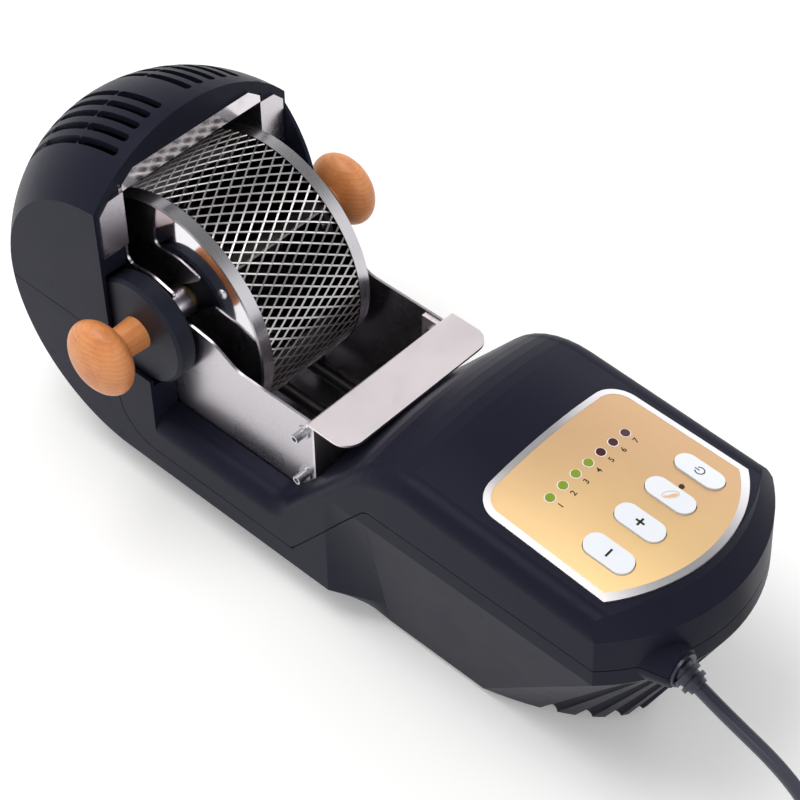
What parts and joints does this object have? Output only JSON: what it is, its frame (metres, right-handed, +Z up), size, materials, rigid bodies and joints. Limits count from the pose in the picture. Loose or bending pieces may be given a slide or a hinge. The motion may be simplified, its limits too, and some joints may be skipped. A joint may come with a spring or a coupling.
{
  "type": "coffee bean roaster",
  "caption": "Home coffee bean roaster: a wire mesh drum on wooden knobs in a steel chamber, under a round vented hood, with a control deck in front.",
  "frame": {"origin": "middle of the footprint on the bench, under the bounding box without the cord", "axes": "+Z up, +Y from the control panel to the hood, +X along the drum's axis to the user's right when facing +Y"},
  "size_m": [0.1735, 0.5632, 0.1848],
  "materials": {
    "black_plastic": "satin moulded",
    "board_green": "solder mask",
    "brass": "turned",
    "brushed_steel": "brushed",
    "button_white": "gloss",
    "ceramic": "unglazed",
    "component": "moulded",
    "cord": "satin",
    "dark_steel": "heat darkened",
    "disc_plastic": "smooth",
    "gold_panel": "satin gold",
    "lamp_green": "clear green",
    "lamp_red": "dark red",
    "mesh_steel": "bright expanded metal",
    "motor_steel": "plated",
    "nylon": "natural",
    "panel_trim": "bright",
    "polished_steel": "mirror polished",
    "rubber": "matte",
    "wood": "oiled beech",
    "zinc": "zinc plated"
  },
  "bodies": {
    "base": {"board_screws": "zinc", "case_screws": "zinc", "chamber_floor": "brushed_steel", "chamber_front_plate": "brushed_steel", "chamber_plate_left": "brushed_steel", "chamber_plate_right": "brushed_steel", "chamber_rests": "zinc", "control_board": "board_green", "control_panel": "gold_panel", "cord_coil": "cord", "cord_end": "cord", "cord_relief": "cord", "drum_motor": "motor_steel", "element_supports": "zinc", "element_terminals": "ceramic", "heating_element": "dark_steel", "hood_liner": "dark_steel", "idler_stud": "zinc", "lamps_green": "lamp_green", "lamps_red": "lamp_red", "lower_shell": "black_plastic", "motor_cradle": "black_plastic", "panel_trim": "panel_trim", "plate_studs": "zinc", "plug_body": "cord", "plug_pins": "brass", "power_board": "board_green", "power_board_pillars": "black_plastic", "power_components": "component", "power_cord": "cord", "rubber_feet": "rubber", "status_lamp": "lamp_red", "tact_switches": "component", "temperature_probe": "polished_steel", "thermal_cutout": "component", "upper_shell": "black_plastic"},
    "drum_carrier": {"shaft_bush_left": "brass", "shaft_bush_right": "brass"},
    "drum": {"drum_mesh": "mesh_steel", "drum_cap_left": "polished_steel", "drum_cap_right": "polished_steel", "mixing_vanes": "polished_steel", "cap_rivets": "brushed_steel", "drum_shaft_left": "polished_steel", "drum_shaft_right": "polished_steel", "drum_gear": "brass", "heat_disc_left": "disc_plastic", "heat_disc_right": "disc_plastic", "knob_left": "wood", "knob_right": "wood"},
    "idler": {"idler_gear": "nylon"},
    "pinion": {"motor_pinion": "brass", "motor_shaft": "motor_steel"},
    "button_minus": {"button_minus": "button_white"},
    "button_plus": {"button_plus": "button_white"},
    "button_roast": {"button_roast": "button_white"},
    "button_power": {"button_power": "button_white"}
  },
  "joints": [
    {"name": "drum_lift", "type": "slide", "parent": "base", "child": "drum_carrier", "axis": [0, -0.7547, 0.6561], "range_m": [0, 0.1]},
    {"name": "drum_spin", "type": "hinge", "parent": "drum_carrier", "child": "drum", "pos_m": [0, 0.0879, 0.098], "axis": [1, 0, 0], "continuous": true},
    {"name": "idler_spin", "type": "hinge", "parent": "base", "child": "idler", "pos_m": [0, 0.12356, 0.067], "axis": [1, 0, 0], "continuous": true},
    {"name": "pinion_spin", "type": "hinge", "parent": "base", "child": "pinion", "pos_m": [0, 0.15016, 0.04387], "axis": [1, 0, 0], "continuous": true},
    {"name": "button_minus_press", "type": "slide", "parent": "base", "child": "button_minus", "axis": [0, 0, -1], "range_m": [0, 0.0005], "stiffness_N_per_m": 900, "springref_m": -0.0003},
    {"name": "button_plus_press", "type": "slide", "parent": "base", "child": "button_plus", "axis": [0, 0, -1], "range_m": [0, 0.0005], "stiffness_N_per_m": 900, "springref_m": -0.0003},
    {"name": "button_roast_press", "type": "slide", "parent": "base", "child": "button_roast", "axis": [0, 0, -1], "range_m": [0, 0.0005], "stiffness_N_per_m": 900, "springref_m": -0.0003},
    {"name": "button_power_press", "type": "slide", "parent": "base", "child": "button_power", "axis": [0, 0, -1], "range_m": [0, 0.0005], "stiffness_N_per_m": 900, "springref_m": -0.0003}
  ],
  "couplings": [
    {"joint": "idler_spin", "follows": "drum_spin", "ratio": -0.75},
    {"joint": "pinion_spin", "follows": "drum_spin", "ratio": 2.4545}
  ]
}
